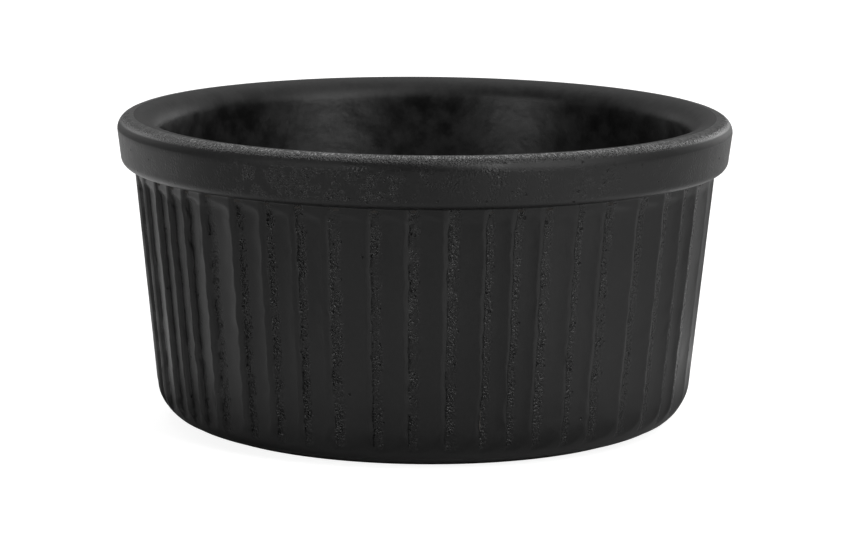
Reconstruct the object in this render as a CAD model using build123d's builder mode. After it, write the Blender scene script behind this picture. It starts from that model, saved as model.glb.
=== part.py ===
from build123d import *
import os
from math import acos, cos, degrees, radians, sin

# A fluted stoneware ramekin. Lengths are in millimetres and angles in degrees.
# The frame stands on the middle of the foot, with +Z up and the photographed side towards -Y.

# Driving sizes of the glazed outside
rim_diameter = 90.0
height = 45.0
lip_round = 2.0
band_height = 7.4
band_draft = 0.5
band_edge_round = 1.5
wall_inset = 2.4
wall_lean = 5.8
corner_round = 6.6

# Foot and underside
foot_diameter = 67.0
foot_width = 3.0
foot_bevel_height = 1.35
base_recess = 1.2
recess_slope = 0.8
bare_height = 0.5

# Bowl
lip_flat = 0.8
flare_round = 3.2
floor_thickness = 4.6
bowl_corner = 6.5

# Flutes, carved by hand in the clay, so that no two are equally wide
flute_depth = 0.6
flute_top_gap = 0.6
flute_top_round = 2.0
flute_foot_round = 19.0
flute_foot_turn = 15.0
first_drop_angle = -79.2
half_turn_pitch_shares = (70, 79, 58, 55, 58, 83, 71, 67, 62, 84, 73, 74, 76,
                          55, 56, 71, 61, 88, 81, 75, 61, 94, 80, 82, 86)
half_turns = 2
drop_share = 0.19
valley_share = 0.20
rise_share = 0.53

# The glaze is one even coat, so the clay lies that much inside every glazed face
coat = 0.3

# Runs past a face, where a cut or a divided section has to clear it
overrun = 1.0
shoulder_clearance = 0.03

# Places worked out from the sizes
rim_radius = rim_diameter / 2
foot_radius = foot_diameter / 2
foot_inner_radius = foot_radius - foot_width
band_foot = height - band_height
band_foot_radius = rim_radius - band_draft
wall_top_radius = rim_radius - wall_inset
lip_inner_radius = rim_radius - lip_round - lip_flat
floor_top = base_recess + floor_thickness
lean_cos = cos(radians(wall_lean))
lean_sin = sin(radians(wall_lean))
lean_tan = lean_sin / lean_cos

# The lip rounds over into the bowl, tangent to the inner wall
bowl_radius = lip_inner_radius - flare_round * lean_cos
bowl_top = height - flare_round * (1 - lean_sin)


def wall_radius(z):
    """Radius of the ridge line at a height."""
    return wall_top_radius - (band_foot - z) * lean_tan


def bowl_wall_radius(z):
    """Radius of the inner wall at a height."""
    return bowl_radius - (bowl_top - z) * lean_tan


# The base corner is a round that is tangent to the leaning wall and to the plane of the foot
corner_radius = wall_radius(corner_round) - corner_round / lean_cos
corner_top = corner_round * (1 - lean_sin)
corner_top_radius = corner_radius + corner_round * lean_cos
corner_end_turn = degrees(acos(1 - foot_bevel_height / corner_round))
corner_end_radius = corner_radius + corner_round * sin(radians(corner_end_turn))

# The bowl's corner is tangent to the inner wall and to the floor in the same way
bowl_corner_centre = floor_top + bowl_corner
bowl_corner_radius = bowl_wall_radius(bowl_corner_centre) - bowl_corner / lean_cos
bowl_corner_top = bowl_corner_centre - bowl_corner * lean_sin
bowl_corner_top_radius = bowl_corner_radius + bowl_corner * lean_cos

# A line through the middle of the clay, which parts the outer coat from the lining
split_radius = rim_radius - lip_round - lip_flat / 2
core_top_radius = (wall_top_radius - flute_depth + bowl_wall_radius(band_foot)) / 2
core_foot_radius = (corner_top_radius - flute_depth + bowl_corner_top_radius) / 2
floor_middle = base_recess + floor_thickness / 2
foot_middle_radius = foot_radius - foot_width / 2

# The glazed outline is drawn past the axis, so that its inward offset still reaches the axis
with BuildSketch(Plane.XZ) as glazed_section:
    with BuildLine():
        Polyline((-overrun, floor_top), (bowl_corner_radius, floor_top))
        RadiusArc(
            (bowl_corner_radius, floor_top),
            (bowl_corner_top_radius, bowl_corner_top),
            -bowl_corner,
        )
        Line((bowl_corner_top_radius, bowl_corner_top), (bowl_radius, bowl_top))
        RadiusArc((bowl_radius, bowl_top), (lip_inner_radius, height), flare_round)
        Line((lip_inner_radius, height), (rim_radius - lip_round, height))
        RadiusArc(
            (rim_radius - lip_round, height),
            (rim_radius, height - lip_round),
            lip_round,
        )
        Line(
            (rim_radius, height - lip_round),
            (band_foot_radius, band_foot + band_edge_round),
        )
        RadiusArc(
            (band_foot_radius, band_foot + band_edge_round),
            (band_foot_radius - band_edge_round, band_foot),
            band_edge_round,
        )
        Polyline(
            (band_foot_radius - band_edge_round, band_foot),
            (wall_top_radius, band_foot),
            (corner_top_radius, corner_top),
        )
        RadiusArc(
            (corner_top_radius, corner_top),
            (corner_end_radius, foot_bevel_height),
            corner_round,
        )
        Polyline(
            (corner_end_radius, foot_bevel_height),
            (foot_radius, -coat),
            (foot_inner_radius, -coat),
            (foot_inner_radius - recess_slope, base_recess),
            (-overrun, base_recess),
            (-overrun, floor_top),
        )
    make_face()

with BuildSketch(Plane.XZ) as clay_section:
    add(glazed_section.sketch)
    offset(amount=-coat, kind=Kind.INTERSECTION)
    with BuildLine():
        Polyline(
            (0, -overrun),
            (rim_radius + overrun, -overrun),
            (rim_radius + overrun, height + overrun),
            (0, height + overrun),
            close=True,
        )
    make_face(mode=Mode.INTERSECT)


# The floor line of a flute leaves the wall on a round at its top, where it turns this far
flute_top_turn = degrees(acos(1 - flute_depth / flute_top_round))
flute_straight_top = (
    band_foot - flute_top_gap - flute_top_round * sin(radians(flute_top_turn))
)
top_turn_shares = (1.4, 0.7, 0)
foot_turn_shares = (0, 0.5, 1)


def floor_line(skin):
    """Radius and height of each place on a flute's floor line, that far under the glaze."""
    top_radius = wall_radius(flute_straight_top) - flute_depth / lean_cos
    top_centre = (
        top_radius + flute_top_round * lean_cos,
        flute_straight_top - flute_top_round * lean_sin,
    )
    foot_centre = (
        corner_top_radius - (flute_depth + flute_foot_round) * lean_cos,
        corner_top + (flute_depth + flute_foot_round) * lean_sin,
    )
    places = []
    for share in top_turn_shares:
        lean = radians(wall_lean + flute_top_turn * share)
        reach = flute_top_round + skin
        places.append((top_centre[0] - reach * cos(lean), top_centre[1] + reach * sin(lean)))
    for share in foot_turn_shares:
        lean = radians(wall_lean + flute_foot_turn * share)
        reach = flute_foot_round - skin
        places.append((foot_centre[0] + reach * cos(lean), foot_centre[1] - reach * sin(lean)))
    return places


def around(radius, angle):
    """A point at an angle that is zero towards the photographed side and grows to the right."""
    return (radius * sin(radians(angle)), -radius * cos(radians(angle)))


pitches = [
    360 * share / (sum(half_turn_pitch_shares) * half_turns)
    for share in half_turn_pitch_shares * half_turns
]
drop_angles = [first_drop_angle + sum(pitches[:i]) for i in range(len(pitches))]


def flute_cutters(skin):
    """One cutter for each flute: a steep drop on its left, a valley, then a long gentle rise."""
    depth = flute_depth / lean_cos
    shoulder = 1 + shoulder_clearance / depth
    cutters = []
    for drop_angle, pitch in zip(drop_angles, pitches):
        valley_start = drop_angle + pitch * drop_share / 2
        valley_end = valley_start + pitch * valley_share
        left = valley_start - pitch * drop_share * shoulder
        right = valley_end + pitch * rise_share * shoulder
        with BuildPart() as cutter:
            for floor_radius, z in floor_line(skin):
                shoulder_radius = floor_radius + depth * shoulder
                with BuildSketch(Plane.XY.offset(z)):
                    with BuildLine():
                        Polyline(
                            around(floor_radius, valley_start),
                            around(floor_radius, valley_end),
                            around(shoulder_radius, right),
                            around(shoulder_radius + overrun, right),
                            around(shoulder_radius + overrun, left),
                            around(shoulder_radius, left),
                            close=True,
                        )
                    make_face()
            loft(ruled=True)
        cutters.append(cutter.part)
    return cutters


# The fired clay: one piece from the lip to the bare foot ring
with BuildPart() as stoneware_body:
    add(clay_section.sketch)
    revolve(axis=Axis.Z)
    add(flute_cutters(coat), mode=Mode.SUBTRACT)
stoneware_body.part.label = "stoneware_body"

# Under the bare height the foot was wiped clean, so every coat of glaze ends there
with BuildSketch(Plane.XZ) as outer_side:
    with BuildLine():
        Polyline(
            (split_radius, height + overrun),
            (split_radius, bowl_top),
            (core_top_radius, band_foot),
            (core_foot_radius, corner_top),
            (foot_middle_radius, bare_height),
            (rim_radius + overrun, bare_height),
            (rim_radius + overrun, height + overrun),
            close=True,
        )
    make_face()

with BuildSketch(Plane.XZ) as bowl_side:
    with BuildLine():
        Polyline(
            (0, height + overrun),
            (split_radius, height + overrun),
            (split_radius, bowl_top),
            (core_top_radius, band_foot),
            (core_foot_radius, bowl_corner_top),
            (foot_middle_radius, floor_middle),
            (0, floor_middle),
            close=True,
        )
    make_face()

with BuildSketch(Plane.XZ) as base_side:
    with BuildLine():
        Polyline(
            (0, bare_height),
            (foot_middle_radius, bare_height),
            (foot_middle_radius, floor_middle),
            (0, floor_middle),
            close=True,
        )
    make_face()

# The outer coat follows the flutes and laps over the lip
with BuildPart() as outer_glaze:
    with BuildSketch(Plane.XZ):
        add(glazed_section.sketch)
        add(outer_side.sketch, mode=Mode.INTERSECT)
    revolve(axis=Axis.Z)
    add(flute_cutters(0), mode=Mode.SUBTRACT)
    add(stoneware_body.part, mode=Mode.SUBTRACT)
outer_glaze.part.label = "outer_glaze"

# The lining is poured into the bowl and meets the outer coat on the lip
with BuildPart() as bowl_glaze:
    with BuildSketch(Plane.XZ):
        add(glazed_section.sketch)
        add(clay_section.sketch, mode=Mode.SUBTRACT)
        add(bowl_side.sketch, mode=Mode.INTERSECT)
    revolve(axis=Axis.Z)
bowl_glaze.part.label = "bowl_glaze"

# The patch of glaze inside the foot ring touches no other glaze
with BuildPart() as base_glaze:
    with BuildSketch(Plane.XZ):
        add(glazed_section.sketch)
        add(clay_section.sketch, mode=Mode.SUBTRACT)
        add(base_side.sketch, mode=Mode.INTERSECT)
    revolve(axis=Axis.Z)
base_glaze.part.label = "base_glaze"

os.makedirs("parts", exist_ok=True)
export_step(stoneware_body.part, "parts/stoneware_body.step")
export_step(outer_glaze.part, "parts/outer_glaze.step")
export_step(bowl_glaze.part, "parts/bowl_glaze.step")
export_step(base_glaze.part, "parts/base_glaze.step")
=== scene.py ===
import math
import bpy
from mathutils import Matrix, Vector


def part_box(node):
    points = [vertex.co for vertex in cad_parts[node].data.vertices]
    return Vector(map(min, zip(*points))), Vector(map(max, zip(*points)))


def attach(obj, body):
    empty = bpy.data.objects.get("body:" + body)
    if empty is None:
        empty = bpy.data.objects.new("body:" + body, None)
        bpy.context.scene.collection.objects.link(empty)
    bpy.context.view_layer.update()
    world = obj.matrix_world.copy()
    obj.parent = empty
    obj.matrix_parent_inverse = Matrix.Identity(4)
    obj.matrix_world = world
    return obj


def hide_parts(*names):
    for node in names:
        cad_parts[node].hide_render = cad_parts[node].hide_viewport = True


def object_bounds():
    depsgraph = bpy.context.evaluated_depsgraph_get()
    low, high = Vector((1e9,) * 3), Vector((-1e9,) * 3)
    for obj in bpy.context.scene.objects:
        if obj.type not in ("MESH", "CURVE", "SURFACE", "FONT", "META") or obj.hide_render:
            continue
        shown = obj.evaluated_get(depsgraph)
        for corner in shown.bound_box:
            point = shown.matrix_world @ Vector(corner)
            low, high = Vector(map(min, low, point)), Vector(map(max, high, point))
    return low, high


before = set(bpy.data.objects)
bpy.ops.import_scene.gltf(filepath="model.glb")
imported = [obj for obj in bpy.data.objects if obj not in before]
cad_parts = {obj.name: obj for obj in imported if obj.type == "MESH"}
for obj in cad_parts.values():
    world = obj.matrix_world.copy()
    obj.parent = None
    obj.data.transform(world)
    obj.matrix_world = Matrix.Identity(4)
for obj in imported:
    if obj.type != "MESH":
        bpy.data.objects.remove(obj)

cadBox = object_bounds()
mm = 0.001
rimRadius = cadBox[1].x
rimHeight = cadBox[1].z
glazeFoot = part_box("outer_glaze")[0].z
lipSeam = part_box("bowl_glaze")[1].x
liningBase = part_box("bowl_glaze")[0].z
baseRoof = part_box("base_glaze")[1].z
print("frame loaded: rim radius %.1f mm, height %.1f mm" % (rimRadius / mm, rimHeight / mm))

# The ramekin's section, which the coats of glaze and the clay share
pot = {
    "coat": 0.3 * mm,
    "lipRound": 2.0 * mm,
    "lipFlat": 0.8 * mm,
    "flareRound": 3.2 * mm,
    "bandHeight": 7.4 * mm,
    "bandDraft": 0.5 * mm,
    "bandEdgeRound": 1.5 * mm,
    "ledgeFillet": 0.35 * mm,
    "wallInset": 2.4 * mm,
    "wallLean": math.radians(5.8),
    "cornerRound": 6.6 * mm,
    "footRadius": 33.5 * mm,
    "footWidth": 3.0 * mm,
    "footBevel": 1.35 * mm,
    "recessSlope": 0.8 * mm,
    "bowlCorner": 6.5 * mm,
    "glazeEdge": 0.5 * mm,
    "edgeThinning": 0.98,
}

coat = pot["coat"]
bandFoot = rimHeight - pot["bandHeight"]
lean = pot["wallLean"]

# How far apart the rows of the mesh lie on each stretch, and how many steps each round has
rowSteps = {
    "foot": 0.16 * mm,
    "wall": 0.76 * mm,
    "fluteTops": 0.25 * mm,
    "fluteTopsHeight": 3.6 * mm,
    "band": 0.6 * mm,
    "lip": 0.25 * mm,
    "bowlWall": 1.0 * mm,
    "bowlFloor": 1.2 * mm,
    "base": 1.5 * mm,
    "baseSlope": 0.12 * mm,
    "cornerTurns": 11,
    "filletTurns": 4,
    "bandEdgeTurns": 8,
    "lipTurns": 10,
    "flareTurns": 12,
    "bowlCornerTurns": 12,
    "closest": 0.001 * mm,
    "stillEnd": 1.0 * mm,
    "ledgeZone": 0.9 * mm,
}


def wallRadius(height):
    return rimRadius - pot["wallInset"] - (bandFoot - height) * math.tan(lean)


# Outlines are lists of (radius, height), walked with the clay on the left hand side

def run(start, end, step):
    steps = max(1, round(math.dist(start, end) / step))
    return [
        (start[0] + (end[0] - start[0]) * i / steps, start[1] + (end[1] - start[1]) * i / steps)
        for i in range(steps + 1)
    ]


def turn(centre, radius, start, end, steps):
    points = []
    for i in range(steps + 1):
        angle = start + (end - start) * i / steps
        points.append((centre[0] + radius * math.cos(angle), centre[1] + radius * math.sin(angle)))
    return points


def joined(*stretches):
    points = []
    for stretch in stretches:
        for point in stretch:
            if not points or math.dist(point, points[-1]) > rowSteps["closest"]:
                points.append(point)
    return points


def outerOutline():
    # From the wiped foot up the wall and over the band to the seam on the lip
    corner = pot["cornerRound"]
    centre = (wallRadius(corner) - corner / math.cos(lean), corner)
    cornerEnd = -math.pi / 2 + math.acos(1 - pot["footBevel"] / corner)
    corners = turn(centre, corner, cornerEnd, -lean, rowSteps["cornerTurns"])
    share = (glazeFoot + coat) / (pot["footBevel"] + coat)
    footStart = (pot["footRadius"] + (corners[0][0] - pot["footRadius"]) * share, glazeFoot)
    topsHeight = bandFoot - rowSteps["fluteTopsHeight"]
    topsStart = (wallRadius(topsHeight), topsHeight)
    fillet = pot["ledgeFillet"]
    reach = fillet * math.tan((math.pi / 2 - lean) / 2)
    wallTop = rimRadius - pot["wallInset"]
    wallEnd = (wallTop - reach * math.sin(lean), bandFoot - reach * math.cos(lean))
    ledge = (wallTop + reach, bandFoot - fillet)
    edge = pot["bandEdgeRound"]
    bandFace = rimRadius - pot["bandDraft"]
    bandEdge = (bandFace - edge, bandFoot + edge)
    lip = pot["lipRound"]
    lipCentre = (rimRadius - lip, rimHeight - lip)
    return joined(
        run(footStart, corners[0], rowSteps["foot"]),
        corners,
        run(corners[-1], topsStart, rowSteps["wall"]),
        run(topsStart, wallEnd, rowSteps["fluteTops"]),
        turn(ledge, fillet, math.pi - lean, math.pi / 2, rowSteps["filletTurns"]),
        turn(bandEdge, edge, -math.pi / 2, 0, rowSteps["bandEdgeTurns"]),
        run((bandFace, bandFoot + edge), (rimRadius, rimHeight - lip), rowSteps["band"]),
        turn(lipCentre, lip, 0, math.pi / 2, rowSteps["lipTurns"]),
        run((rimRadius - lip, rimHeight), (lipSeam, rimHeight), rowSteps["lip"]),
    )


def bowlOutline():
    # From the seam on the lip over the flare and down to the middle of the floor
    flare = pot["flareRound"]
    flareCentre = (rimRadius - pot["lipRound"] - pot["lipFlat"], rimHeight - flare)
    flareEnd = (flareCentre[0] - flare * math.cos(lean), flareCentre[1] + flare * math.sin(lean))
    floorTop = liningBase + coat
    corner = pot["bowlCorner"]
    cornerHeight = floorTop + corner
    innerRadius = flareEnd[0] - (flareEnd[1] - cornerHeight) * math.tan(lean)
    cornerCentre = (innerRadius - corner / math.cos(lean), cornerHeight)
    corners = turn(cornerCentre, corner, -lean, -math.pi / 2, rowSteps["bowlCornerTurns"])
    return joined(
        run((lipSeam, rimHeight), (flareCentre[0], rimHeight), rowSteps["lip"]),
        turn(flareCentre, flare, math.pi / 2, math.pi - lean, rowSteps["flareTurns"]),
        run(flareEnd, corners[0], rowSteps["bowlWall"]),
        corners,
        run(corners[-1], (0.0, floorTop), rowSteps["bowlFloor"]),
    )


def baseOutline():
    # From the middle of the underside out to the wiped foot ring
    roof = baseRoof - coat
    ringInside = pot["footRadius"] - pot["footWidth"]
    share = (roof - glazeFoot) / (roof + coat)
    slopeTop = (ringInside - pot["recessSlope"], roof)
    slopeEnd = (slopeTop[0] + pot["recessSlope"] * share, glazeFoot)
    return joined(
        run((0.0, roof), slopeTop, rowSteps["base"]),
        run(slopeTop, slopeEnd, rowSteps["baseSlope"]),
    )


def skinLoop(outline, keepEvery, thinStart=False, thinEnd=False):
    # The side that shows, then the side that lies on the clay, as one closed row of points.
    # A wiped edge thins out to nothing. The last number is how much of its unevenness a point takes.
    last = len(outline) - 1
    lengths = [0.0]
    for before, after in zip(outline, outline[1:]):
        lengths.append(lengths[-1] + math.dist(before, after))
    shownSide, claySide = [], []
    for i, (radius, height) in enumerate(outline):
        before, after = outline[max(i - 1, 0)], outline[min(i + 1, last)]
        length = math.dist(before, after)
        leftR, leftZ = (before[1] - after[1]) / length, (after[0] - before[0]) / length
        fromStart = lengths[i] if thinStart else lengths[-1]
        fromEnd = lengths[-1] - lengths[i] if thinEnd else lengths[-1]
        near = min(min(fromStart, fromEnd) / pot["glazeEdge"], 1.0)
        sink = coat * (1 - math.sqrt(1 - (1 - near) ** 2)) * pot["edgeThinning"]
        still = min(lengths[i], lengths[-1] - lengths[i]) / rowSteps["stillEnd"]
        shownSide.append((max(radius + leftR * sink, 0.0), height + leftZ * sink, min(still, 1.0)))
        atLedge = abs(height - bandFoot) < rowSteps["ledgeZone"]
        if i in (0, last) or i % keepEvery == 0 or atLedge:
            claySide.append((max(radius + leftR * coat, 0.0), height + leftZ * coat, 0.0))
    return shownSide + claySide[::-1] + shownSide[:1]


# Node helpers

def addNode(tree, kind, **settings):
    node = tree.nodes.new(kind)
    for name, value in settings.items():
        setattr(node, name, value)
    return node


def feed(tree, source, target):
    if isinstance(source, bpy.types.NodeSocket):
        tree.links.new(source, target)
    else:
        target.default_value = source


def calc(tree, operation, *values, clamp=False):
    node = addNode(tree, "ShaderNodeMath", operation=operation, use_clamp=clamp)
    for value, target in zip(values, node.inputs):
        feed(tree, value, target)
    return node.outputs[0]


def times(tree, *values):
    product = values[0]
    for value in values[1:]:
        product = calc(tree, "MULTIPLY", product, value)
    return product


def plus(tree, *values):
    total = values[0]
    for value in values[1:]:
        total = calc(tree, "ADD", total, value)
    return total


def minus(tree, value, other):
    return calc(tree, "SUBTRACT", value, other)


def combine(tree, *values):
    node = addNode(tree, "ShaderNodeCombineXYZ")
    for value, target in zip(values, node.inputs):
        feed(tree, value, target)
    return node.outputs[0]


def separate(tree, vector):
    node = addNode(tree, "ShaderNodeSeparateXYZ")
    feed(tree, vector, node.inputs[0])
    return node.outputs


def lengthOf(tree, vector):
    node = addNode(tree, "ShaderNodeVectorMath", operation="LENGTH")
    feed(tree, vector, node.inputs[0])
    return node.outputs["Value"]


def ramp(tree, value, low, high, toLow=0.0, toHigh=1.0):
    # A smooth step from one value to another
    node = addNode(tree, "ShaderNodeMapRange", interpolation_type="SMOOTHSTEP", clamp=True)
    for item, target in zip((value, low, high, toLow, toHigh), node.inputs):
        feed(tree, item, target)
    return node.outputs[0]


def noiseAt(tree, where, size, detail, rough, seed):
    # Soft noise with patches of about that size; the seed is its fourth dimension
    node = addNode(tree, "ShaderNodeTexNoise", noise_dimensions="4D")
    feed(tree, where, node.inputs["Vector"])
    feed(tree, seed, node.inputs["W"])
    feed(tree, calc(tree, "DIVIDE", 1.0, size), node.inputs["Scale"])
    node.inputs["Detail"].default_value = detail
    node.inputs["Roughness"].default_value = rough
    return node.outputs[0]


def curveOf(tree, value, points):
    node = addNode(tree, "ShaderNodeFloatCurve")
    curve = node.mapping.curves[0]
    while len(curve.points) < len(points):
        curve.points.new(0.5, 0.5)
    for point, place in zip(curve.points, points):
        point.location = place
        point.handle_type = "VECTOR"
    node.mapping.update()
    feed(tree, value, node.inputs["Value"])
    return node.outputs[0]


# The flutes of the clay. The shares are of one pitch, which starts where a flute's steep side starts.
# A noise is its detail and its roughness, after its size and before its seed where it has them.
flutes = {
    "halfTurnPitchShares": [70, 79, 58, 55, 58, 83, 71, 67, 62, 84, 73, 74, 76,
                            55, 56, 71, 61, 88, 81, 75, 61, 94, 80, 82, 86],
    "halfTurns": 2,
    "firstDrop": math.radians(-79.2),
    "dropShare": 0.17,
    "valleyShare": 0.21,
    "riseShare": 0.42,
    "dropKnee": (0.76, 0.45),
    "scoopSteps": 6,
    "roughStart": 0.72,
    "roughBefore": 0.03,
    "roughAfter": 0.1,
    "dropColumns": 4,
    "valleyColumns": 2,
    "riseColumns": 4,
    "crestColumns": 4,
    "depth": 0.6 * mm,
    "leastDepth": 0.8,
    "depthSpread": 0.4,
    "depthNoiseTimes": 5.0,
    "depthNoise": (2.0, 0.5, 7.0),
    "straightTop": bandFoot - 2.3 * mm,
    "topRound": 2.0 * mm,
    "topScatter": 0.25 * mm,
    "topShare": 0.36,
    "straightFoot": 5.9 * mm,
    "footRound": 8.4 * mm,
    "wander": 1.2 * mm,
    "wanderSize": 2.2 * mm,
    "wanderNoise": (3.0, 0.6),
    "grain": 0.12 * mm,
    "grainNoise": (0.9 * mm, 2.0, 0.6),
    "roughDepth": (0.0, 0.3),
    "seed": 4.0,
}

# What every coat has: it is a little uneven, and its corners stay sharp
coatFinish = {
    "unevenness": 0.06 * mm,
    "swellNoise": (9.0 * mm, 2.0, 0.5),
    "sharpAngle": math.radians(55),
    "mergeWithin": 0.002 * mm,
    "tiny": 0.01 * mm,
    "calmRadius": rimRadius / 2,
}


def fluteCurves():
    # Where the columns of one flute stand, how deep they are cut and how rough they are left
    drop = flutes["dropShare"]
    valley = drop + flutes["valleyShare"]
    rise = valley + flutes["riseShare"]
    columns = [0]
    for part in ("drop", "valley", "rise", "crest"):
        columns.append(columns[-1] + flutes[part + "Columns"])
    places = [(c / columns[-1], e) for c, e in zip(columns, (0.0, drop, valley, rise, 1.0))]
    kneeShare, kneeDepth = flutes["dropKnee"]
    section = [(0.0, 0.0), (drop * kneeShare, kneeDepth), (drop, 1.0), (valley, 1.0)]
    for i in range(1, flutes["scoopSteps"] + 1):
        share = valley + (1 - valley) * i / flutes["scoopSteps"]
        section.append((share, 1 - ((share - valley) / (1 - valley)) ** 2))
    roughEnd = valley - flutes["roughBefore"]
    calmStart = valley + flutes["roughAfter"]
    rough = [(0.0, 0.0), (drop * flutes["roughStart"], 0.0), (drop, 1.0)]
    rough += [(roughEnd, 1.0), (calmStart, 0.0), (1.0, 0.0)]
    return columns[-1], places, section, rough


fluteCount = len(flutes["halfTurnPitchShares"]) * flutes["halfTurns"]
columnsPerFlute, placeCurve, sectionCurve, roughCurve = fluteCurves()


def makeMarks():
    # One point for each flute, with the angle at which it starts as its X
    shares = flutes["halfTurnPitchShares"] * flutes["halfTurns"]
    pitches = [2 * math.pi * share / sum(shares) for share in shares]
    angle = flutes["firstDrop"] - pitches[0] * flutes["dropShare"] / 2
    angles = [angle]
    for pitch in pitches:
        angle += pitch
        angles.append(angle)
    mesh = bpy.data.meshes.new("fluteMarks")
    mesh.from_pydata([(a, 0, 0) for a in angles], [], [])
    marks = bpy.data.objects.new("fluteMarks", mesh)
    bpy.context.scene.collection.objects.link(marks)
    return marks


def makeSkinTree():
    tree = bpy.data.node_groups.new("turnedSkin", "GeometryNodeTree")
    sockets = [("Outline", "Geometry"), ("Flute Marks", "Object")]
    sockets += [("Flutes", "Int"), ("Columns Per Flute", "Int")]
    for name in ("Flute Depth", "Straight Top", "Top Round", "Top Scatter", "Top Share", "Straight Foot",
                 "Foot Round", "Wander", "Wander Size", "Grain", "Unevenness", "Seed"):
        sockets.append((name, "Float"))
    sockets.append(("Glaze", "Material"))
    for name, kind in sockets:
        tree.interface.new_socket(name=name, in_out="INPUT", socket_type="NodeSocket" + kind)
    tree.interface.new_socket(name="Skin", in_out="OUTPUT", socket_type="NodeSocketGeometry")
    given = addNode(tree, "NodeGroupInput").outputs

    rows = addNode(tree, "GeometryNodeAttributeDomainSize", component="MESH")
    feed(tree, given["Outline"], rows.inputs[0])
    columnCount = times(tree, given["Flutes"], given["Columns Per Flute"])
    grid = addNode(tree, "GeometryNodeMeshGrid")
    grid.inputs["Size X"].default_value = 1.0
    grid.inputs["Size Y"].default_value = 1.0
    feed(tree, plus(tree, columnCount, 1.0), grid.inputs["Vertices X"])
    feed(tree, rows.outputs["Point Count"], grid.inputs["Vertices Y"])

    # The grid is centred, so half its side is added to count columns and rows from 0
    position = addNode(tree, "GeometryNodeInputPosition").outputs[0]
    place = separate(tree, position)
    lastRow = minus(tree, rows.outputs["Point Count"], 1.0)
    column = calc(tree, "ROUND", times(tree, plus(tree, place[0], 0.5), columnCount))
    row = calc(tree, "ROUND", times(tree, plus(tree, place[1], 0.5), lastRow))

    def sample(geometry, value, index, kind):
        node = addNode(tree, "GeometryNodeSampleIndex", data_type=kind, domain="POINT")
        feed(tree, geometry, node.inputs["Geometry"])
        feed(tree, value, node.inputs["Value"])
        feed(tree, index, node.inputs["Index"])
        return node.outputs[0]

    def named(name):
        node = addNode(tree, "GeometryNodeInputNamedAttribute", data_type="FLOAT")
        node.inputs["Name"].default_value = name
        return node.outputs[0]

    def store(geometry, name, value):
        node = addNode(tree, "GeometryNodeStoreNamedAttribute", data_type="FLOAT", domain="POINT")
        feed(tree, geometry, node.inputs["Geometry"])
        node.inputs["Name"].default_value = name
        feed(tree, value, node.inputs["Value"])
        return node.outputs[0]

    # The place of this row on the outline
    outlinePlace = separate(tree, sample(given["Outline"], position, row, "FLOAT_VECTOR"))
    radius, height = outlinePlace[0], outlinePlace[2]
    shown = sample(given["Outline"], named("shown"), row, "FLOAT")

    # The flute that this column belongs to, and its share of the pitch
    perFlute = given["Columns Per Flute"]
    flute = calc(tree, "FLOOR", calc(tree, "DIVIDE", plus(tree, column, 0.5), perFlute))
    step = minus(tree, column, times(tree, flute, perFlute))
    share = curveOf(tree, calc(tree, "DIVIDE", step, perFlute), placeCurve)
    marks = addNode(tree, "GeometryNodeObjectInfo", transform_space="ORIGINAL")
    feed(tree, given["Flute Marks"], marks.inputs["Object"])
    nextFlute = calc(tree, "MINIMUM", plus(tree, flute, 1.0), given["Flutes"])
    startHere = sample(marks.outputs["Geometry"], place[0], flute, "FLOAT")
    startNext = sample(marks.outputs["Geometry"], place[0], nextFlute, "FLOAT")
    angle = plus(tree, startHere, times(tree, minus(tree, startNext, startHere), share))

    def around(distance, turnAngle):
        across = times(tree, distance, calc(tree, "SINE", turnAngle))
        back = times(tree, distance, calc(tree, "COSINE", turnAngle))
        return combine(tree, across, times(tree, back, -1.0), height)

    # The carved lines wander a little, as a hand-held tool does
    straightPlace = around(radius, angle)
    wander = noiseAt(tree, straightPlace, given["Wander Size"], *flutes["wanderNoise"], given["Seed"])
    wander = times(tree, minus(tree, wander, 0.5), given["Wander"])
    wander = calc(tree, "DIVIDE", wander, calc(tree, "MAXIMUM", radius, coatFinish["calmRadius"]))
    angle = plus(tree, angle, wander)

    # The tool comes out of the clay on a round at the top and at the foot
    chance = addNode(tree, "FunctionNodeRandomValue", data_type="FLOAT")
    chance.inputs[2].default_value = -1.0
    chance.inputs[3].default_value = 1.0
    feed(tree, calc(tree, "MODULO", flute, given["Flutes"]), chance.inputs["ID"])
    topHeight = plus(tree, height, times(tree, chance.outputs[1], given["Top Scatter"]))
    overTop = calc(tree, "MAXIMUM", minus(tree, topHeight, given["Straight Top"]), 0.0)
    underFoot = calc(tree, "MAXIMUM", minus(tree, given["Straight Foot"], height), 0.0)

    def lift(distance, toolRound):
        return calc(tree, "DIVIDE", times(tree, distance, distance), times(tree, toolRound, 2.0))

    # A shallow trace of the flute runs on to the band
    underBand = calc(tree, "LESS_THAN", height, bandFoot - coatFinish["tiny"])
    topLeft = times(tree, underBand, given["Top Share"])
    broadSize = times(tree, given["Wander Size"], flutes["depthNoiseTimes"])
    broad = noiseAt(tree, straightPlace, broadSize, *flutes["depthNoise"])
    depthShare = plus(tree, flutes["leastDepth"], times(tree, broad, flutes["depthSpread"]))
    depth = times(tree, given["Flute Depth"], depthShare)
    fullCut = times(tree, curveOf(tree, share, sectionCurve), depth)
    cut = minus(tree, fullCut, lift(overTop, given["Top Round"]))
    cut = calc(tree, "MAXIMUM", cut, times(tree, fullCut, topLeft))
    cut = calc(tree, "MAXIMUM", minus(tree, cut, lift(underFoot, given["Foot Round"])), 0.0)

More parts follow.
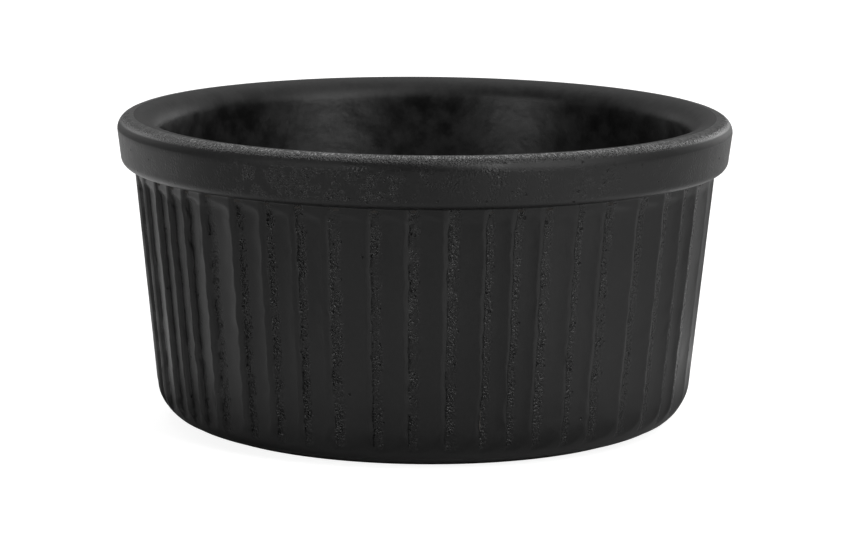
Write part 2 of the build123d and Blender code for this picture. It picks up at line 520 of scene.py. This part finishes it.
    # The glaze is roughest where the flutes are cut. Both facts are kept while the grid is still flat.
    fullDepth = calc(tree, "MAXIMUM", given["Flute Depth"], coatFinish["tiny"])
    atFlute = calc(tree, "DIVIDE", cut, fullDepth, clamp=True)
    roughness = times(tree, curveOf(tree, share, roughCurve), ramp(tree, atFlute, *flutes["roughDepth"]))
    skin = store(grid.outputs["Mesh"], "carved", roughness)
    skin = store(skin, "shown", shown)
    setPlace = addNode(tree, "GeometryNodeSetPosition")
    feed(tree, skin, setPlace.inputs["Geometry"])
    feed(tree, around(minus(tree, radius, cut), angle), setPlace.inputs["Position"])
    merge = addNode(tree, "GeometryNodeMergeByDistance")
    feed(tree, setPlace.outputs[0], merge.inputs["Geometry"])
    merge.inputs["Distance"].default_value = coatFinish["mergeWithin"]

    # The coat is a little uneven, always inwards
    normal = addNode(tree, "GeometryNodeInputNormal").outputs[0]
    swell = noiseAt(tree, position, *coatFinish["swellNoise"], given["Seed"])
    grainNoise = noiseAt(tree, position, *flutes["grainNoise"], given["Seed"])
    sink = times(tree, swell, given["Unevenness"])
    grainSink = times(tree, grainNoise, given["Grain"], named("carved"))
    sink = times(tree, plus(tree, sink, grainSink), named("shown"))
    offset = addNode(tree, "ShaderNodeVectorMath", operation="SCALE")
    feed(tree, normal, offset.inputs[0])
    feed(tree, times(tree, sink, -1.0), offset.inputs["Scale"])
    settle = addNode(tree, "GeometryNodeSetPosition")
    feed(tree, merge.outputs[0], settle.inputs["Geometry"])
    feed(tree, offset.outputs[0], settle.inputs["Offset"])

    # Smooth all over, but for the corners where the coat ends
    smooth = addNode(tree, "GeometryNodeSetShadeSmooth", domain="FACE")
    feed(tree, settle.outputs[0], smooth.inputs["Geometry"])
    sharp = addNode(tree, "GeometryNodeSetShadeSmooth", domain="EDGE")
    feed(tree, smooth.outputs[0], sharp.inputs["Geometry"])
    edgeAngle = addNode(tree, "GeometryNodeInputMeshEdgeAngle").outputs[0]
    isSharp = calc(tree, "GREATER_THAN", edgeAngle, coatFinish["sharpAngle"])
    feed(tree, isSharp, sharp.inputs["Selection"])
    sharp.inputs["Shade Smooth"].default_value = False

    realize = addNode(tree, "GeometryNodeRealizeInstances")
    feed(tree, sharp.outputs[0], realize.inputs[0])
    paint = addNode(tree, "GeometryNodeSetMaterial")
    feed(tree, realize.outputs[0], paint.inputs["Geometry"])
    feed(tree, given["Glaze"], paint.inputs["Material"])
    output = addNode(tree, "NodeGroupOutput")
    feed(tree, paint.outputs[0], output.inputs[0])
    return tree


def makeSkin(name, loop, tree, inputs, node):
    # Runs the tree on an outline and leaves a plain mesh that stands for the CAD node
    mesh = bpy.data.meshes.new(name + "Outline")
    edges = [(i, i + 1) for i in range(len(loop) - 1)]
    mesh.from_pydata([(radius, 0.0, height) for radius, height, still in loop], edges, [])
    shown = mesh.attributes.new("shown", "FLOAT", "POINT")
    shown.data.foreach_set("value", [still for radius, height, still in loop])
    piece = bpy.data.objects.new(name, mesh)
    bpy.context.scene.collection.objects.link(piece)
    modifier = piece.modifiers.new("skin", "NODES")
    modifier.node_group = tree
    for socket in tree.interface.items_tree:
        if socket.item_type == "SOCKET" and socket.in_out == "INPUT" and socket.name in inputs:
            modifier[socket.identifier] = inputs[socket.name]
    bpy.context.view_layer.update()
    evaluated = piece.evaluated_get(bpy.context.evaluated_depsgraph_get())
    skin = bpy.data.meshes.new_from_object(evaluated)
    piece.modifiers.remove(modifier)
    piece.data = skin
    skin.name = name
    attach(piece, "root")
    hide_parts(node)
    print("%s: %d faces" % (name, len(skin.polygons)))
    return piece


# Materials. In their dictionaries a noise is its size, detail, roughness and seed, a ramp is where it
# starts and ends and its value there if that isn't 0 and 1, and a hole is its cell, radius and seed.
# Sizes across the surface are lengths, and heights of the relief are in millimetres.

def newMaterial(name):
    material = bpy.data.materials.new(name)
    material.use_nodes = True
    tree = material.node_tree
    tree.nodes.clear()
    shader = addNode(tree, "ShaderNodeBsdfPrincipled")
    output = addNode(tree, "ShaderNodeOutputMaterial")
    tree.links.new(shader.outputs[0], output.inputs["Surface"])
    where = addNode(tree, "ShaderNodeTexCoord").outputs["Object"]
    return material, tree, shader, where


def grey(tree, value):
    return combine(tree, value, value, value)


def pinholes(tree, where, share, size, radius, seed):
    # 1 in the middle of a pinhole, 0 outside; share is how many of the cells have one
    node = addNode(tree, "ShaderNodeTexVoronoi", voronoi_dimensions="4D")
    feed(tree, where, node.inputs["Vector"])
    node.inputs["W"].default_value = seed
    node.inputs["Scale"].default_value = 1 / size
    hole = ramp(tree, node.outputs["Distance"], radius / size * 0.5, radius / size, 1.0, 0.0)
    luck = separate(tree, node.outputs["Color"])[0]
    return times(tree, hole, calc(tree, "LESS_THAN", luck, share))


def addBump(tree, shader, heightInMm):
    node = addNode(tree, "ShaderNodeBump")
    node.inputs["Strength"].default_value = 1.0
    node.inputs["Distance"].default_value = mm
    feed(tree, heightInMm, node.inputs["Height"])
    feed(tree, node.outputs[0], shader.inputs["Normal"])


outerLook = {
    "patches": (14 * mm, 3.0, 0.55, 1.0),
    "fleck": (0.7 * mm, 3.0, 0.65, 2.0),
    "fleckShare": 0.4,
    "toneRange": (0.35, 0.65, 0.002, 0.007),
    "clusters": (1.9 * mm, 3.0, 0.6, 9.0),
    "clusterRange": (0.38, 0.6),
    "flakes": (0.34 * mm, 2.0, 0.5, 6.0),
    "flakeRange": (0.5, 0.68),
    # how pale the glints painted into the colour on the flakes are: painted highlights
    "flakeGlintTone": 0.02,
    "flakeHeight": 0.4,
    "grain": (0.22 * mm, 2.0, 0.5, 7.0),
    "grainHeight": 0.012,
    "glints": (0.2 * mm, 1.0, 0.5),
    "glintShift": 0.1,
    "glintHeight": 0.05,
    "lipGlintHeight": 0.34,
    # pale glints painted into the colour of the lip's top edge: painted highlights
    "paintedLipGlints": (0.5, 0.62, 0.0, 0.26),
    "ringStretch": 0.25,
    "roughness": 0.4,
    "busyRoughness": 0.25,
    "busyFull": 0.8,
    "lipRoughness": 0.28,
    "underLipRoughness": 0.56,
    "fleckRoughness": 0.12,
    "specular": 0.5,
    "smallHoles": (0.6 * mm, 0.24 * mm, 3.0),
    "smallHoleShare": 0.45,
    "fewHoles": (1.7 * mm, 0.32 * mm, 5.0),
    "fewHoleShare": 0.04,
    "fewHoleShareBusy": 0.3,
    # how much the pinholes are darkened in the colour: painted shade inside the pits
    "holePaintedShade": 0.9,
    "holeRoughness": 0.3,
    "holeDepth": 0.16,
    "specks": (3.4 * mm, 0.2 * mm, 31.0),
    "speckShare": 0.25,
    "speckTone": 0.22,
}

# Where on the pot the glaze is busy or glossy. Backwards is along Y, so it is negative in front.
outerZones = {
    "band": (bandFoot + 0.3 * mm, bandFoot + 1.4 * mm),
    "bandPatches": (0.4, 0.6, 0.45, 1.0),
    "bandTop": (rimHeight - 2.5 * mm, rimHeight - 1.1 * mm, 1.0, 0.15),
    "bandBackwards": (-41 * mm, -33 * mm, 1.0, 0.22),
    "wallWithoutCluster": 0.4,
    "wallCluster": 0.6,
    "wallAcross": (-34 * mm, -24 * mm, 0.3, 1.0),
    "lipBackwards": (-36 * mm, -20 * mm, 1.0, 0.3),
    "edge": (rimHeight - 0.45 * mm, rimHeight - 0.05 * mm),
    "lip": (rimHeight - 1.1 * mm, rimHeight - 0.4 * mm),
    "lipOutwards": (lipSeam, lipSeam + 0.9 * mm),
    "underLipBottom": (rimHeight - 2.2 * mm, rimHeight - 1.7 * mm),
    "underLipTop": (rimHeight - 1.0 * mm, rimHeight - 0.5 * mm, 1.0, 0.0),
    "underLipSides": (5 * mm, 13 * mm),
}


def makeOuterGlaze():
    look = outerLook
    zones = outerZones
    material, tree, shader, where = newMaterial("matteBlackGlaze")
    attribute = addNode(tree, "ShaderNodeAttribute", attribute_type="GEOMETRY", attribute_name="carved")
    across, backwards, height = separate(tree, where)
    flat = combine(tree, across, backwards, 0.0)
    fromAxis = lengthOf(tree, flat)
    patches = noiseAt(tree, where, *look["patches"])
    fleck = noiseAt(tree, where, *look["fleck"])
    clusters = ramp(tree, noiseAt(tree, where, *look["clusters"]), *look["clusterRange"])

    # The glaze is busy in clusters on the band and in the valleys of the flutes
    onBand = times(
        tree,
        ramp(tree, height, *zones["band"]),
        ramp(tree, patches, *zones["bandPatches"]),
        clusters,
        ramp(tree, height, *zones["bandTop"]),
        ramp(tree, backwards, *zones["bandBackwards"]),
    )
    onWall = times(
        tree,
        attribute.outputs["Fac"],
        plus(tree, zones["wallWithoutCluster"], times(tree, clusters, zones["wallCluster"])),
        ramp(tree, across, *zones["wallAcross"]),
    )
    busy = calc(tree, "MAXIMUM", onWall, onBand)

    # The lip glitters most in front, by its relief and by glints painted into its colour, and the glaze is
    # duller right under it
    lipShare = ramp(tree, backwards, *zones["lipBackwards"])
    onEdge = times(tree, ramp(tree, height, *zones["edge"]), lipShare)
    onLip = times(tree, ramp(tree, height, *zones["lip"]), ramp(tree, fromAxis, *zones["lipOutwards"]))
    underLip = times(
        tree,
        ramp(tree, height, *zones["underLipBottom"]),
        ramp(tree, height, *zones["underLipTop"]),
        ramp(tree, calc(tree, "ABSOLUTE", across), *zones["underLipSides"]),
    )

    # The lip's relief and its painted glints are drawn out along its section
    ring = addNode(tree, "ShaderNodeVectorMath", operation="NORMALIZE")
    feed(tree, flat, ring.inputs[0])
    ringSides = separate(tree, ring.outputs["Vector"])
    ringAcross = times(tree, ringSides[0], rimRadius)
    ringBackwards = times(tree, ringSides[1], rimRadius)
    ringPlace = combine(tree, ringAcross, ringBackwards, height)
    ringDepth = times(tree, fromAxis, look["ringStretch"])

    smallShare = times(tree, busy, look["smallHoleShare"])
    fewShare = plus(tree, look["fewHoleShare"], times(tree, busy, look["fewHoleShareBusy"]))
    smallHoles = pinholes(tree, where, smallShare, *look["smallHoles"])
    fewHoles = pinholes(tree, where, fewShare, *look["fewHoles"])
    holes = calc(tree, "MAXIMUM", smallHoles, fewHoles)

    flakes = noiseAt(tree, where, *look["flakes"])
    fleckShare = look["fleckShare"]
    tone = plus(tree, times(tree, patches, 1 - fleckShare), times(tree, fleck, fleckShare))
    tone = ramp(tree, tone, *look["toneRange"])
    # Pale flakes painted into the colour where the glaze is busy stand in for glints: painted highlights
    paintedFlakeGlints = times(tree, ramp(tree, flakes, *look["flakeRange"]), look["flakeGlintTone"], busy)
    # Glints painted into the colour on the lip's top edge, strongest in front: a painted highlight
    paintedGlints = noiseAt(tree, ringPlace, *look["glints"], ringDepth)
    paintedGlints = times(tree, ramp(tree, paintedGlints, *look["paintedLipGlints"]), onEdge)
    tone = plus(tree, tone, paintedFlakeGlints, paintedGlints)
    # The pinholes are darkened in the colour: painted shade inside the pits
    tone = times(tree, tone, minus(tree, 1.0, times(tree, holes, look["holePaintedShade"])))
    specks = pinholes(tree, where, look["speckShare"], *look["specks"])
    tone = plus(tree, tone, times(tree, specks, look["speckTone"]))
    feed(tree, grey(tree, tone), shader.inputs["Base Color"])

    # The flecks' mean is taken off each roughness, as they add to it
    fleckMean = look["fleckRoughness"] / 2
    calm = look["roughness"] - fleckMean
    gloss = ramp(tree, busy, 0.0, look["busyFull"], calm, look["busyRoughness"] - fleckMean)
    lipGloss = ramp(tree, onLip, 0.0, 1.0, calm, look["lipRoughness"] - fleckMean)
    gloss = calc(tree, "MINIMUM", gloss, lipGloss)
    gloss = plus(tree, gloss, times(tree, fleck, look["fleckRoughness"]))
    gloss = plus(tree, gloss, times(tree, holes, look["holeRoughness"]))
    gloss = calc(tree, "MAXIMUM", gloss, times(tree, underLip, look["underLipRoughness"]))
    feed(tree, gloss, shader.inputs["Roughness"])
    shader.inputs["Specular IOR Level"].default_value = look["specular"]

    # Flakes and glints swing about zero, so that the edges of their zones leave no step
    grain = noiseAt(tree, where, *look["grain"])
    glintPlace = plus(tree, look["glintShift"], ringDepth)
    glints = minus(tree, noiseAt(tree, ringPlace, *look["glints"], glintPlace), 0.5)
    busyRelief = times(tree, minus(tree, flakes, 0.5), look["flakeHeight"])
    busyRelief = plus(tree, busyRelief, times(tree, glints, look["glintHeight"]))
    lipRelief = times(tree, glints, look["lipGlintHeight"], lipShare, onLip)
    relief = plus(tree, times(tree, grain, look["grainHeight"]), times(tree, busyRelief, busy), lipRelief)
    relief = minus(tree, relief, times(tree, holes, look["holeDepth"]))
    addBump(tree, shader, relief)
    return material


liningLook = {
    "patches": (3.0 * mm, 3.0, 0.5, 11.0),
    "fleck": (0.8 * mm, 3.0, 0.6, 12.0),
    "fleckShare": 0.25,
    "toneRange": (0.38, 0.62, 0.001, 0.013),
    "roughness": 0.37,
    "lipRoughness": 0.68,
    "lipHeights": (rimHeight - 3.5 * mm, rimHeight - 0.5 * mm),
    "patchRoughness": 0.2,
    "specular": 0.46,
    "ripple": (2.6 * mm, 2.0, 0.5, 13.0),
    "rippleHeight": 0.08,
    "grain": (0.35 * mm, 2.0, 0.6, 14.0),
    "grainHeight": 0.006,
    "holes": (1.8 * mm, 0.2 * mm, 15.0),
    "holeShare": 0.1,
    "holeDepth": 0.04,
}


def makeLining():
    look = liningLook
    material, tree, shader, where = newMaterial("satinBlackLining")
    patches = noiseAt(tree, where, *look["patches"])
    fleck = noiseAt(tree, where, *look["fleck"])
    fleckShare = look["fleckShare"]
    tone = plus(tree, times(tree, patches, 1 - fleckShare), times(tree, fleck, fleckShare))
    feed(tree, grey(tree, ramp(tree, tone, *look["toneRange"])), shader.inputs["Base Color"])
    patchMean = look["patchRoughness"] / 2
    bowlGloss = look["roughness"] - patchMean
    lipGloss = look["lipRoughness"] - patchMean
    gloss = ramp(tree, separate(tree, where)[2], *look["lipHeights"], bowlGloss, lipGloss)
    gloss = plus(tree, gloss, times(tree, patches, look["patchRoughness"]))
    feed(tree, gloss, shader.inputs["Roughness"])
    shader.inputs["Specular IOR Level"].default_value = look["specular"]
    ripple = noiseAt(tree, where, *look["ripple"])
    grain = noiseAt(tree, where, *look["grain"])
    holes = pinholes(tree, where, look["holeShare"], *look["holes"])
    relief = plus(tree, times(tree, ripple, look["rippleHeight"]), times(tree, grain, look["grainHeight"]))
    relief = minus(tree, relief, times(tree, holes, look["holeDepth"]))
    addBump(tree, shader, relief)
    return material


clayLook = {
    "patches": (5 * mm, 4.0, 0.6, 21.0),
    "grit": (0.4 * mm, 4.0, 0.7, 22.0),
    "gritShare": 0.5,
    "gritHeight": 0.05,
    "toneRange": (0.35, 0.65, 0.035, 0.065),
    "specks": (0.9 * mm, 0.22 * mm, 23.0),
    "speckShare": 0.3,
    "speckTone": 0.05,
    "redness": 1.1,
    "blueness": 0.92,
    "roughness": 0.92,
}


def makeBareClay():
    look = clayLook
    material, tree, shader, where = newMaterial("bareStoneware")
    patches = noiseAt(tree, where, *look["patches"])
    grit = noiseAt(tree, where, *look["grit"])
    gritShare = look["gritShare"]
    specks = pinholes(tree, where, look["speckShare"], *look["specks"])
    tone = plus(tree, times(tree, patches, 1 - gritShare), times(tree, grit, gritShare))
    tone = ramp(tree, tone, *look["toneRange"])
    tone = plus(tree, tone, times(tree, specks, look["speckTone"]))
    colour = combine(tree, times(tree, tone, look["redness"]), tone, times(tree, tone, look["blueness"]))
    feed(tree, colour, shader.inputs["Base Color"])
    shader.inputs["Roughness"].default_value = look["roughness"]
    addBump(tree, shader, times(tree, grit, look["gritHeight"]))
    return material


# The coats of glaze. Of the side that lies on the clay only every so many rows are kept.
outerCoat = {"clayRowEvery": 6}
bowlLining = {"clayRowEvery": 4, "columns": 7}
basePatch = {"clayRowEvery": 3, "columns": 5}

skinTree = makeSkinTree()
fluteMarks = makeMarks()
outerGlaze = makeOuterGlaze()
lining = makeLining()
fluted = {
    "Flute Marks": fluteMarks,
    "Flutes": fluteCount,
    "Columns Per Flute": columnsPerFlute,
    "Flute Depth": flutes["depth"],
    "Straight Top": flutes["straightTop"],
    "Top Round": flutes["topRound"],
    "Top Scatter": flutes["topScatter"],
    "Top Share": flutes["topShare"],
    "Straight Foot": flutes["straightFoot"],
    "Foot Round": flutes["footRound"],
    "Wander": flutes["wander"],
    "Wander Size": flutes["wanderSize"],
    "Grain": flutes["grain"],
    "Unevenness": coatFinish["unevenness"],
    "Seed": flutes["seed"],
    "Glaze": outerGlaze,
}
plain = dict(fluted)
for flutedInput in ("Flute Depth", "Top Share", "Wander", "Grain"):
    plain[flutedInput] = 0.0
plain["Glaze"] = lining

outerLoop = skinLoop(outerOutline(), outerCoat["clayRowEvery"], thinStart=True)
makeSkin("outerCoat", outerLoop, skinTree, fluted, "outer_glaze")
bowlLoop = skinLoop(bowlOutline(), bowlLining["clayRowEvery"])
plain["Columns Per Flute"] = bowlLining["columns"]
makeSkin("bowlLining", bowlLoop, skinTree, plain, "bowl_glaze")
baseLoop = skinLoop(baseOutline(), basePatch["clayRowEvery"], thinEnd=True)
plain["Columns Per Flute"] = basePatch["columns"]
makeSkin("basePatch", baseLoop, skinTree, plain, "base_glaze")
bpy.data.objects.remove(fluteMarks)

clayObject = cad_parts["stoneware_body"]
clayMaterial = makeBareClay()
if clayObject.material_slots:
    for materialSlot in clayObject.material_slots:
        materialSlot.material = clayMaterial
else:
    clayObject.data.materials.append(clayMaterial)
print("pieces made")


# The studio: lamps stand round the pot at an azimuth that is 0 towards the camera and grows to the right
lamps = {
    "leftBackSoftbox": {"azimuth": -136, "elevation": 21, "distance": 0.9, "size": (0.5, 0.4), "watts": 0.78},
    "rightBackSoftbox": {"azimuth": 142, "elevation": 12, "distance": 0.9, "size": (0.45, 0.4), "watts": 1.4},
    "rightFill": {"azimuth": 45, "elevation": 37, "distance": 0.9, "size": (0.4, 0.95), "watts": 5.5},
    "leftFill": {"azimuth": -43, "elevation": 17, "distance": 0.9, "size": (0.32, 0.36), "watts": 1.4},
    "overhead": {"azimuth": 180, "elevation": 67, "distance": 0.9, "size": (0.72, 0.8), "watts": 2.6},
}


def fromPot(azimuth, elevation, distance):
    flat = distance * math.cos(elevation)
    return Vector((flat * math.sin(azimuth), -flat * math.cos(azimuth), distance * math.sin(elevation)))


def makeLamps():
    middle = Vector((0, 0, rimHeight / 2))
    for name, lamp in lamps.items():
        data = bpy.data.lights.new(name, "AREA")
        data.shape = "RECTANGLE"
        data.size, data.size_y = lamp["size"]
        data.energy = lamp["watts"]
        light = bpy.data.objects.new(name, data)
        away = fromPot(math.radians(lamp["azimuth"]), math.radians(lamp["elevation"]), lamp["distance"])
        light.location = middle + away
        light.rotation_euler = away.to_track_quat("Z", "Y").to_euler()
        light.visible_camera = False
        bpy.context.scene.collection.objects.link(light)


# The floor is matte, and pools of light are painted on it as a glow that only glossy rays see, so only the
# pot mirrors them, as ramps over places on the floor
studioFloor = {
    "half": 4.0,
    "tone": 0.48,
    "glow": 0.88,
    "clear": (46 * mm, 62 * mm),
    "near": (62 * mm, 100 * mm, 0.22, 0.0),
    "rightAcross": (0.0, 70 * mm, 0.0, 0.24),
    "rightBackwards": (-60 * mm, 20 * mm, 1.0, 0.0),
    "leftAcross": (-70 * mm, 0.0, 0.54, 0.0),
    "leftBackwards": (-25 * mm, 25 * mm),
    "leftAway": (100 * mm, 180 * mm, 1.0, 0.4),
    "backSides": (20 * mm, 45 * mm, 0.0, 1.3),
    "backBackwards": (5 * mm, 32 * mm),
    "backAcross": (-30 * mm, 30 * mm, 0.28, 1.0),
    "backAway": (64 * mm, 82 * mm, 1.0, 0.1),
}


def makeFloor():
    look = studioFloor
    half = look["half"]
    corners = [(-half, -half, 0), (half, -half, 0), (half, half, 0), (-half, half, 0)]
    mesh = bpy.data.meshes.new("studioFloor")
    mesh.from_pydata(corners, [], [(0, 1, 2, 3)])
    floor = bpy.data.objects.new("studioFloor", mesh)
    bpy.context.scene.collection.objects.link(floor)
    material = bpy.data.materials.new("paleFloor")
    material.use_nodes = True
    tree = material.node_tree
    tree.nodes.clear()
    matte = addNode(tree, "ShaderNodeBsdfDiffuse")
    matte.inputs["Color"].default_value = (look["tone"],) * 3 + (1,)
    glow = addNode(tree, "ShaderNodeEmission")
    rays = addNode(tree, "ShaderNodeLightPath").outputs
    seen = calc(tree, "MAXIMUM", rays["Is Camera Ray"], rays["Is Transmission Ray"])
    where = addNode(tree, "ShaderNodeTexCoord").outputs["Object"]
    away = lengthOf(tree, where)
    place = separate(tree, where)
    across, backwards = place[0], place[1]
    near = ramp(tree, away, *look["near"])
    toRight = ramp(tree, across, *look["rightAcross"])
    toRight = times(tree, toRight, ramp(tree, backwards, *look["rightBackwards"]))
    toLeft = ramp(tree, across, *look["leftAcross"])
    toLeft = times(tree, toLeft, ramp(tree, backwards, *look["leftBackwards"]))
    toLeft = times(tree, toLeft, ramp(tree, away, *look["leftAway"]))
    toBack = ramp(tree, calc(tree, "ABSOLUTE", across), *look["backSides"])
    toBack = times(tree, toBack, ramp(tree, backwards, *look["backBackwards"]))
    toBack = times(tree, toBack, ramp(tree, across, *look["backAcross"]))
    toBack = times(tree, toBack, ramp(tree, away, *look["backAway"]))
    paintedShine = plus(tree, near, plus(tree, toRight, toLeft), toBack)
    paintedShine = times(tree, paintedShine, ramp(tree, away, *look["clear"]))
    # Painted light: the floor glows for glossy rays in these pools, and stays off right round the foot
    strength = times(tree, rays["Is Glossy Ray"], paintedShine)
    strength = calc(tree, "MAXIMUM", strength, times(tree, seen, look["glow"]))
    feed(tree, strength, glow.inputs["Strength"])
    both = addNode(tree, "ShaderNodeAddShader")
    tree.links.new(matte.outputs[0], both.inputs[0])
    tree.links.new(glow.outputs[0], both.inputs[1])
    output = addNode(tree, "ShaderNodeOutputMaterial")
    tree.links.new(both.outputs[0], output.inputs["Surface"])
    mesh.materials.append(material)


# White where the camera looks; the room itself has dim walls and a paler ceiling
studioRoom = {
    "frontToBack": (-0.3, 0.9, 0.04, 0.2),
    "ceilingUp": 0.87,
    "ceilingBack": 0.5,
    "ceiling": (0.5, 1.0, 0.0, 0.4),
    "ambient": 0.8,
}


def makeWorld():
    look = studioRoom
    world = bpy.data.worlds.new("studioRoom")
    bpy.context.scene.world = world
    world.use_nodes = True
    tree = world.node_tree
    tree.nodes.clear()
    direction = separate(tree, addNode(tree, "ShaderNodeTexCoord").outputs["Generated"])
    walls = ramp(tree, direction[1], *look["frontToBack"])
    up = times(tree, direction[2], look["ceilingUp"])
    upAndBack = plus(tree, up, times(tree, direction[1], look["ceilingBack"]))
    room = plus(tree, walls, ramp(tree, upAndBack, *look["ceiling"]))
    rays = addNode(tree, "ShaderNodeLightPath").outputs
    seen = calc(tree, "MAXIMUM", rays["Is Camera Ray"], rays["Is Transmission Ray"])
    other = calc(tree, "MAXIMUM", rays["Is Glossy Ray"], look["ambient"])
    strength = calc(tree, "MAXIMUM", seen, times(tree, room, other))
    background = addNode(tree, "ShaderNodeBackground")
    feed(tree, strength, background.inputs["Strength"])
    output = addNode(tree, "ShaderNodeOutputWorld")
    tree.links.new(background.outputs[0], output.inputs["Surface"])


camera = {
    "aim": (0.54 * mm, 0.0, 22.1 * mm),
    "distance": 575.4 * mm,
    "elevation": math.radians(10.0),
    "roll": math.radians(0.48),
    "lens": 164.3,
    "sensorWidth": 36.0,
    "clipStart": 0.02,
}


def makeCamera():
    data = bpy.data.cameras.new("photoCamera")
    data.lens = camera["lens"]
    data.sensor_width = camera["sensorWidth"]
    data.clip_start = camera["clipStart"]
    eye = bpy.data.objects.new("photoCamera", data)
    away = fromPot(0.0, camera["elevation"], camera["distance"])
    facing = away.to_track_quat("Z", "Y").to_matrix().to_4x4()
    place = Matrix.Translation(Vector(camera["aim"]) + away)
    eye.matrix_world = place @ facing @ Matrix.Rotation(camera["roll"], 4, "Z")
    bpy.context.scene.collection.objects.link(eye)
    bpy.context.scene.camera = eye


makeLamps()
makeFloor()
makeWorld()
makeCamera()
bpy.context.scene.view_settings.view_transform = "Standard"
print("studio made")
